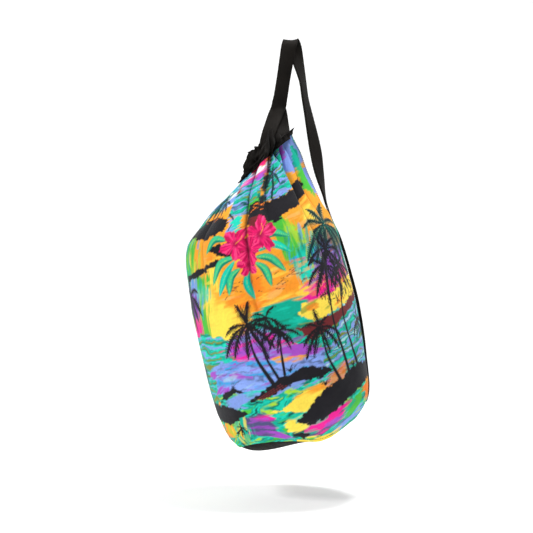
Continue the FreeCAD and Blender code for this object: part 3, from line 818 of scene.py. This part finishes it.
def black_cloth_material(name, pitch, tint, bump_strength):
    """Black canvas that fades a little to brown where it rubs."""
    n = Nodes(name)
    weave = n.weave(pitch)
    worn = n.speckle(26.0, 5.0)
    fine = n.speckle(700.0, 2.0)
    dark, light = [0.55 * c for c in tint], [1.7 * c for c in tint]
    colour = n.ramp(n.mix(worn, 0.75, fine, 0.25), 0.3, dark, 0.75, light)
    height = n.mix(weave, 0.6, fine, 0.5)
    bump = n.add("Bump", {"Height": height, "Strength": bump_strength, "Distance": 0.0006}).outputs[0]
    n.set(Base_Color=colour, Roughness=n.remap(fine, 0.72, 0.9), Normal=bump)
    n.set(Sheen_Weight=0.03, Sheen_Roughness=0.4, Specular_IOR_Level=0.07)
    return n.material


def webbing_material():
    """Black herringbone webbing: slanting ribs that turn back at the middle, with shiny thread ends."""
    n = Nodes("black_webbing")
    cloth = n.add("UVMap", uv_map="cloth").outputs[0]
    parts = n.add("SeparateXYZ", {0: cloth}).outputs
    across = n.math("ABSOLUTE", parts[0], 0.0)
    slant = n.math("ADD", across, parts[1])
    ribs = n.math("SINE", n.math("MULTIPLY", slant, 2 * math.pi / 0.0022), 0.0)
    threads = n.math("SINE", n.math("MULTIPLY", parts[0], 2 * math.pi / 0.0013), 0.0)
    fine = n.speckle(1100.0, 2.0)
    worn = n.speckle(22.0, 4.0)
    height = n.math("ADD", n.mix(ribs, 0.5, threads, 0.25), n.math("MULTIPLY", fine, 0.5))
    dark, light = (0.004, 0.0035, 0.003), (0.02, 0.0165, 0.014)
    colour = n.ramp(n.mix(worn, 0.6, fine, 0.4), 0.3, dark, 0.8, light)
    bump = n.add("Bump", {"Height": height, "Strength": 0.6, "Distance": 0.0005}).outputs[0]
    n.set(Base_Color=colour, Roughness=n.remap(fine, 0.55, 0.8), Normal=bump)
    n.set(Sheen_Weight=0.02, Sheen_Roughness=0.35, Specular_IOR_Level=0.07)
    return n.material


def thread_material():
    """Twisted polyester thread."""
    n = Nodes("black_thread")
    where = n.add("TexCoord").outputs["Object"]
    twist = n.add("TexWave", {"Vector": where, "Scale": 900.0, "Distortion": 1.5}).outputs["Fac"]
    colour = n.ramp(twist, 0.0, (0.01, 0.01, 0.012), 1.0, (0.05, 0.05, 0.055))
    bump = n.add("Bump", {"Height": twist, "Strength": 0.5, "Distance": 0.0003}).outputs[0]
    n.set(Base_Color=colour, Roughness=n.remap(twist, 0.4, 0.6), Normal=bump, Sheen_Weight=0.2)
    return n.material


# Pieces


def crease_shade(lift):
    """Painted shade for a folded cloth: the factor each point's print is multiplied by, lower the further it
    lies down in a valley.
    """
    window = np.hanning(25)
    window /= window.sum()
    padded = np.pad(lift, ((0, 0), (12, 12)), mode="edge")
    around = np.stack([np.convolve(row, window, mode="valid") for row in padded])
    return 1 - 0.86 * np.clip((around - lift - 0.4) / 5.5, 0, 1) ** 0.9


def panel(name, side, node, material):
    """One printed panel: side is -1 in front, 1 behind."""
    columns, rows = 301, 331
    heights, up = cloth_heights(rows)
    share = np.linspace(0, 1, columns)
    theta = (-HALF_TURN + HALF_TURN * share) if side < 0 else (HALF_TURN * share)
    across = (share - 0.5) * HALF_TURN * CUT_RADIUS
    turn, height = np.meshgrid(theta, heights)
    a, b = np.meshgrid(across, up)
    lift = folds(turn, height) + seam_groove(turn)
    uv = np.stack([a, b], axis=-1) / 1000
    piece = mesh_piece(name, skin(turn, height, lift), grid_faces(rows, columns), material, uv)
    colours = np.ones((a.size, 4))
    # The print is multiplied by painted shade down in the fold valleys, and stored as the ink attribute.
    colours[:, :3] = paint(a.ravel(), b.ravel()) * crease_shade(lift).reshape(-1, 1)
    ink_and_shade = piece.data.color_attributes.new("ink", "FLOAT_COLOR", "POINT")
    ink_and_shade.data.foreach_set("color", colours.ravel())
    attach(piece, "sack")
    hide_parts(node)


def base(material):
    """The round base: it bellies under its gathered seam."""
    columns, rows = 240, 40
    share = np.linspace(1, 0.0, rows)
    theta = np.linspace(-HALF_TURN, HALF_TURN, columns, endpoint=False)
    out, turn = np.meshgrid(share, theta, indexing="ij")
    seam_lift = folds(theta, np.full(columns, float(SEAM_HEIGHT)))[None, :]
    drop = 1.5 - (BASE_DROP + 1.5) * (1 - out**3.2) ** 0.8 * (0.85 - 0.3 * out * np.cos(turn + 0.5))
    pucker = 1.3 * ripple(turn, out * 60, 48, 30, 31) * rise(0.7, 0.95, out)
    slack = 1.6 * ripple(turn, out * 100, 7, 45, 32) * rise(0.05, 0.5, out) * rise(1.0, 0.8, out)
    height = SEAM_HEIGHT + hem(turn)
    shift, radius, _ = along(BODY_SECTIONS, height)
    far = (radius - 1.2 + seam_lift * rise(0.8, 1, out)) * out
    height = height - hem(turn) * (1 - out**2.5) + drop + pucker + slack + 1.0
    points = place(shift * out + BODY_SECTIONS[0][1] * (1 - out) + far * np.cos(turn), far * np.sin(turn),
                   height)
    uv = np.stack([far * np.cos(turn), far * np.sin(turn)], axis=-1) / 1000
    piece = mesh_piece("base_cloth", points, grid_faces(rows, columns, closed=True), material, uv)
    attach(piece, "sack")
    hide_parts("base_panel")


def ruffle(theta):
    """The sharp little gathers of the casing, from -1 to 1."""
    gathers = 25
    phase = gathers * theta / (2 * math.pi) + 0.9 * noise(theta * 2.1 + 20, 0 * theta + 3, 41)
    tooth = 2 * np.abs(phase - np.floor(phase) - 0.5)
    size = 0.55 + 0.75 * noise(phase * 0.9 + 30, 0 * theta + 8, 42)
    return (2 * tooth**0.8 - 1) * size


def casing(material):
    """The folded casing: up its gathered outside, over the rim and down inside."""
    columns = 500
    theta = np.linspace(-HALF_TURN, HALF_TURN, columns, endpoint=False)
    # (height, way in from the outer wall, how much of the gathers shows)
    section = [
        (431.5, -0.9, 0.0), (432.5, -2.4, 0.1), (436, -3.0, 0.35), (440, -3.2, 0.7), (444, -3.2, 0.9),
        (449, -2.6, 1.0), (453, -1.2, 1.1), (456.5, 1.6, 1.15), (458.5, 5, 1.15), (457, 9, 1.0),
        (452, 11.5, 0.9), (445, 12, 0.8), (438, 12, 0.7), (432, 12, 0.6),
    ]
    fine = np.linspace(0, len(section) - 1, 53)
    height, inset, gather = along([(k, *row) for k, row in enumerate(section)], fine)
    turn, height = np.meshgrid(theta, height)
    height = height - 15 * np.exp(-((np.abs(np.degrees(turn)) - 180) / 62) ** 2) * rise(458, 436, height)
    sunk = strap_side(turn) * rise(438, 456, height)
    shift, radius, tilt = along(BODY_SECTIONS[:-1] + CASING_SECTIONS, np.minimum(height, 456))
    far = radius - inset[:, None] - 12 * sunk
    amount = np.broadcast_to(gather[:, None], turn.shape)
    tooth = ruffle(theta)[None, :]
    pleat = folds(theta, np.full(columns, 430.0))[None, :] * (1 - 0.7 * rise(0.1, 0.9, amount))
    slump = 2.2 * ripple(turn, height, 9, 60, 43) * amount
    sway = 1.3 * ripple(turn, 0 * height, 14, 60, 44)
    slump = slump + 2.6 * np.sin(2 * math.pi * (height / 11 + sway)) * amount
    # The gathers are calm from under the strap's legs round to the strap side.
    degrees = np.degrees(turn)
    smooth = 1 - 0.8 * rise(-128, -104, degrees) * rise(85, 60, degrees) * rise(436, 450, height)
    flare = 3.0 * np.exp(-(((np.abs(np.degrees(turn)) - 180) / 70) ** 2)) * amount
    far = far + 6.5 * tooth * amount * smooth + pleat + slump * smooth + flare
    lean = np.radians(tilt)
    # Between the strap's two ends the casing is drawn up and in.
    drawn = np.exp(-((np.degrees(turn) + 84) / 21) ** 2) * rise(438, 457, height)
    far = far - 9 * drawn
    out = far * np.cos(turn)
    bobble = 6.5 * tooth * amount * smooth * rise(440, 456, height) * (1 - 0.85 * sunk)
    up = height + bobble + 22 * drawn - 20 * sunk
    up = up + 8 * strap_side(turn) * rise(385, 437, height)
    points = place(shift + out * np.cos(lean), far * np.sin(turn), up + out * np.sin(lean))
    run = np.broadcast_to(np.linspace(0, 0.6, columns)[None, :], turn.shape)
    uv = np.stack([run, np.broadcast_to((fine * 0.006)[:, None], turn.shape)], axis=-1)
    piece = mesh_piece("casing_cloth", points, grid_faces(len(fine), columns, closed=True), material, uv)
    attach(piece, "sack")
    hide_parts("mouth_casing")


def tail_route():
    """Down the strap side to the base seam, as the CAD route."""
    rows = [LOOP_ROUTE[-1], (138.2, 0, 330, 5)]
    for height in (300, 272, 240, 205, 165, 130, 95, 65, 40, 20, 4, -9):
        shift, radius, _ = along(BODY_SECTIONS, float(height))
        rows.append((shift + radius + TAIL_STANDOFF + LAYER_OFFSET + WEBBING_THICK / 2, 0, height, 0))
    return rows


def ribbon_points(rows, offset, step):
    """Points of a webbing ribbon along route rows: each section is a flat bar with rounded selvedges."""
    table = [(k, *row) for k, row in enumerate(rows)]
    count = int(sum(math.dist(p[:3], q[:3]) for p, q in zip(rows, rows[1:])) / step) + 1
    u, v, h, turn = along(table, np.linspace(0, len(rows) - 1, count))
    middle = np.stack([u, v, h], axis=-1)
    ahead = np.gradient(middle, axis=0)
    ahead /= np.linalg.norm(ahead, axis=1)[:, None]
    # Over the hook the webbing lies level, though the sack under it leans.
    level = -TILT_SIN / TILT_COS * np.exp(-(((h - HOOK[2]) / 22) ** 2))
    turn = np.radians(turn)
    across = np.stack([np.sin(turn), np.cos(turn), level * np.sin(turn)], axis=-1)
    across -= ahead * np.sum(across * ahead, axis=1)[:, None]
    across /= np.linalg.norm(across, axis=1)[:, None]
    out = np.cross(ahead, across)
    half, thick = WEBBING_WIDTH / 2, WEBBING_THICK / 2
    x = np.concatenate([np.linspace(-0.97, 0.97, 9), [1.0], np.linspace(0.97, -0.97, 9), [-1.0]]) * half
    y = np.concatenate([np.full(9, -0.86), [0.0], np.full(9, 0.86), [0.0]]) * thick
    y[[0, 8, 10, 18]] *= 1.15
    y = y[None, :] + offset
    run = np.concatenate([[0], np.cumsum(np.linalg.norm(np.diff(middle, axis=0), axis=1))])
    # A worn strap cups a little across its width.
    cup = 0.55 * np.sin(run / 41)[:, None] * (x[None, :] / half) ** 2
    points = middle[:, None] + across[:, None] * x[None, :, None] + out[:, None] * (y + cup)[..., None]
    uv = np.stack(np.broadcast_arrays(x[None, :], run[:, None]), axis=-1) / 1000
    return place(points[..., 0], points[..., 1], points[..., 2]), uv


def ribbon(name, rows, offset, material, step=3.0):
    """One layer of webbing along route rows, moved off their middle by offset, with closed ends."""
    points, uv = ribbon_points(rows, offset, step)
    sections, around = points.shape[:2]
    faces = grid_faces(sections, around, closed=True).tolist()
    faces.append(list(range(around))[::-1])
    faces.append([(sections - 1) * around + k for k in range(around)])
    piece = mesh_piece(name, points, faces, material, uv)
    return piece


def strap(material):
    """Both layers of the one webbing outside the casing."""
    tail = tail_route()
    front = ribbon("strap_front_layer", LEFT_LEG + LOOP_ROUTE[1:] + tail[1:], -LAYER_OFFSET, material)
    rear = ribbon("strap_rear_layer", RIGHT_LEG + LOOP_ROUTE[1:] + tail[1:], LAYER_OFFSET, material)
    point = np.array(HINGE["pos_m"])
    axis = np.array(HINGE["axis"])
    towards = -point - axis * float(np.dot(-point, axis))
    towards /= np.linalg.norm(towards)
    for piece, nodes in (
        (front, ("strap_exit_left", "strap_loop_front", "strap_tail_inner")),
        (rear, ("strap_exit_right", "strap_loop_rear", "strap_tail_outer")),
    ):
        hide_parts(*nodes)
        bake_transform(piece)


def cinch_run(material):
    """The webbing inside the casing, standing on edge."""
    angles = np.radians(np.linspace(-66, 264, 160))
    low, high = 428.0, 450.0
    columns = []
    for height, inset in ((low, 7), (high, 7), (high, 8.4), (low, 8.4)):
        shift, radius, tilt = along(CASING_SECTIONS, np.full(len(angles), height))
        far, lean = radius - inset, np.radians(tilt)
        out = far * np.cos(angles)
        columns.append(place(shift + out * np.cos(lean), far * np.sin(angles), height + out * np.sin(lean)))
    points = np.stack(columns, axis=1)
    run = np.broadcast_to(np.linspace(0, 0.22, len(angles))[:, None], points.shape[:2])
    side = np.broadcast_to(np.array([-0.011, 0.011, 0.011, -0.011])[None, :], points.shape[:2])
    faces = grid_faces(len(angles), 4, closed=True)
    piece = mesh_piece("strap_in_casing", points, faces, material, np.stack([side, run], axis=-1))
    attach(piece, "sack")
    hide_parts("strap_cinch_run")


def tape(name, node, theta, material):
    """The binding tape inside a side seam."""
    heights = np.linspace(-18, 405, 150)
    width = np.linspace(-6, 6, 7)
    height, side = np.meshgrid(heights, width, indexing="ij")
    radius = along(BODY_SECTIONS, height)[1]
    turn = theta + side / radius
    arch = 0.8 * np.cos(side / 6 * math.pi / 2)
    lift = folds(turn, height) + seam_groove(turn) - 3.2 - arch
    uv = np.stack([side, height], axis=-1) / 1000
    piece = mesh_piece(name, skin(turn, height, lift), grid_faces(150, 7), material, uv)
    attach(piece, "sack")
    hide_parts(node)


def base_tape(material):
    """The tape over the base seam's allowance, inside."""
    theta = np.linspace(-HALF_TURN, HALF_TURN, 240, endpoint=False)
    heights = np.linspace(-32, -21, 6)
    height, turn = np.meshgrid(heights, theta, indexing="ij")
    arch = 1.4 * np.sin((height + 32) / 11 * math.pi)
    lift = folds(turn, height) - 3.4 - arch
    uv = np.stack([turn * 0.1, height / 1000], axis=-1)
    piece = mesh_piece("base_seam_tape", skin(turn, height, lift), grid_faces(6, 240, closed=True),
                       material, uv)
    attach(piece, "sack")
    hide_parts("base_seam_binding")


def stitches(name, nodes, lines, material, pitch=3.2, long=2.3, thick=0.42):
    """Rows of lockstitch: each line is points and outward directions, in metres."""
    points, faces = [], []
    for line, outs in lines:
        steps = np.linalg.norm(np.diff(line, axis=0), axis=1)
        run = np.concatenate([[0], np.cumsum(steps)])
        for start in np.arange(0, run[-1] - long / 1000, pitch / 1000):
            at = start + np.array([0, 0.2, 0.5, 0.8, 1]) * long / 1000
            middle = np.stack([np.interp(at, run, line[:, k]) for k in range(3)], axis=-1)
            out = np.stack([np.interp(at, run, outs[:, k]) for k in range(3)], axis=-1)
            out /= np.linalg.norm(out, axis=1)[:, None]
            ahead = middle[-1] - middle[0]
            ahead /= np.linalg.norm(ahead)
            side = np.cross(out, ahead)
            swell = np.array([0.35, 0.9, 1.0, 0.9, 0.35]) * thick / 1000
            lift = np.array([-0.3, 0.12, 0.3, 0.12, -0.3]) / 1000
            first = len(points)
            for k in range(5):
                for spoke in range(6):
                    angle = spoke * math.pi / 3
                    ring = side[k] * math.cos(angle) + out[k] * 0.8 * math.sin(angle)
                    points.append(middle[k] + out[k] * lift[k] + ring * swell[k])
            faces += grid_faces(5, 6, closed=True, start=first).tolist()
            faces += [[first + k for k in range(6)][::-1], [first + 24 + k for k in range(6)]]
    piece = mesh_piece(name, points, faces, material)
    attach(piece, "sack")
    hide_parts(*nodes)


def skin_line(theta, height, extra):
    """A line over the cloth and its outward directions."""
    lift = folds(theta, height) + seam_groove(theta)
    line = skin(theta, height, lift + extra)
    return line, skin(theta, height, lift + extra + 5) - line


def casing_stitching(material):
    """Two rows of stitches just above the panels' top edges."""
    theta = np.linspace(-HALF_TURN, HALF_TURN, 720)
    lines = [skin_line(theta, np.full(720, height), 3.1) for height in (433.8, 436.5)]
    stitches("casing_stitching_thread", ["casing_stitching"], lines, material)


def seam_stitching(material):
    """Topstitching along the base seam and both side seams."""
    theta = np.linspace(-HALF_TURN, HALF_TURN, 720)
    lines = [skin_line(theta, np.full(720, SEAM_HEIGHT + 4.0), 0.35)]
    heights = np.linspace(SEAM_HEIGHT + 8, 425, 400)
    for seam in (0.0, HALF_TURN):
        for side in (-1, 1):
            angle = seam + side * 4.5 / along(BODY_SECTIONS, heights)[1]
            lines.append(skin_line(angle, heights, 0.35))
    stitches("seam_topstitch", [], lines, material, pitch=3.4, long=2.5, thick=0.35)


def bartack(material):
    """A box of stitches with a cross through it, over the webbing's sewn ends."""
    corners = [(-9, 2), (9, 2), (9, 20), (-9, 20), (-9, 2), (9, 20), (9, 2), (-9, 20)]
    line, outs = [], []
    for (x0, h0), (x1, h1) in zip(corners, corners[1:]):
        for t in np.linspace(0, 1, 8, endpoint=False):
            side, height = x0 + t * (x1 - x0), h0 + t * (h1 - h0)
            shift, radius, _ = along(BODY_SECTIONS, float(height))
            face = shift + radius + TAIL_STANDOFF + 2 * LAYER_OFFSET + WEBBING_THICK
            line.append(place(face + 0.1, side, height))
            outs.append(place(face + 5.0, side, height) - line[-1])
    stitches("strap_end_thread", ["anchor_bartack"], [(np.array(line), np.array(outs))], material, 2.4, 1.9)


# Camera, light and stage


def camera():
    """A level view from the front."""
    lens = bpy.data.cameras.new("camera")
    lens.lens = CAMERA_LENS
    lens.sensor_width = CAMERA_SENSOR
    eye = link(bpy.data.objects.new("camera", lens))
    eye.location = CAMERA_PLACE
    eye.rotation_euler = (math.pi / 2, 0, 0)
    bpy.context.scene.camera = eye


def area_light(name, place_m, aim, size, power):
    """A soft lamp at one point that faces another."""
    light = bpy.data.lights.new(name, "AREA")
    light.shape = "RECTANGLE"
    light.size, light.size_y = size
    light.energy = power
    lamp = link(bpy.data.objects.new(name, light))
    lamp.location = place_m
    way = np.array(aim) - np.array(place_m)
    flat = math.hypot(way[0], way[1])
    lamp.rotation_euler = (math.atan2(flat, -way[2]), 0, math.atan2(way[1], way[0]) - math.pi / 2)


def stage():
    """A pale floor that curves up behind into a pale wall."""
    floor, reach, back, bend = -0.775, 9.0, 2.6, 1.2
    profile = [(-reach, floor), (back - bend, floor)]
    for k in range(1, 13):
        angle = k / 12 * math.pi / 2
        profile.append((back - bend + bend * math.sin(angle), floor + bend - bend * math.cos(angle)))
    profile.append((back, floor + 6))
    points = [(x, y, z) for y, z in profile for x in (-reach, reach)]
    n = Nodes("pale_floor")
    where = n.add("TexCoord").outputs["Object"]
    mottle = n.add("TexNoise", {"Vector": where, "Scale": 2.0}).outputs["Fac"]
    shade = n.remap(mottle, 0.93, 0.95)
    n.set(Base_Color=n.add("CombineColor", {0: shade, 1: shade, 2: shade}).outputs[0], Roughness=0.9)
    n.set(Specular_IOR_Level=0.1, Emission_Color=(1, 1, 1, 1), Emission_Strength=FLOOR_GLOW)
    sweep = mesh_piece("sweep", points, grid_faces(len(profile), 2), n.material)
    world = bpy.data.worlds.new("studio")
    world.use_nodes = True
    world.node_tree.nodes["Background"].inputs[0].default_value = (1, 1, 1, 1)
    world.node_tree.nodes["Background"].inputs[1].default_value = WORLD_LIGHT
    bpy.context.scene.world = world
    bpy.context.scene.view_settings.view_transform = "Standard"
    for row in LIGHTS:
        area_light(*row)


camera()
printed = print_material()
black = black_cloth_material("black_canvas", 0.0009, (0.0085, 0.0072, 0.0062), 0.5)
tape_cloth = black_cloth_material("binding_tape", 0.0007, (0.02, 0.02, 0.02), 0.4)
webbing = webbing_material()
thread = thread_material()

panel("front_panel_cloth", -1, "front_panel", printed)
panel("back_panel_cloth", 1, "back_panel", printed)
base(black)
casing(black)
strap(webbing)
cinch_run(webbing)
tape("strap_side_tape", "side_seam_binding_strap_side", 0.0, tape_cloth)
tape("far_side_tape", "side_seam_binding_far_side", HALF_TURN, tape_cloth)
base_tape(tape_cloth)
casing_stitching(thread)
seam_stitching(thread)
bartack(thread)
stage()
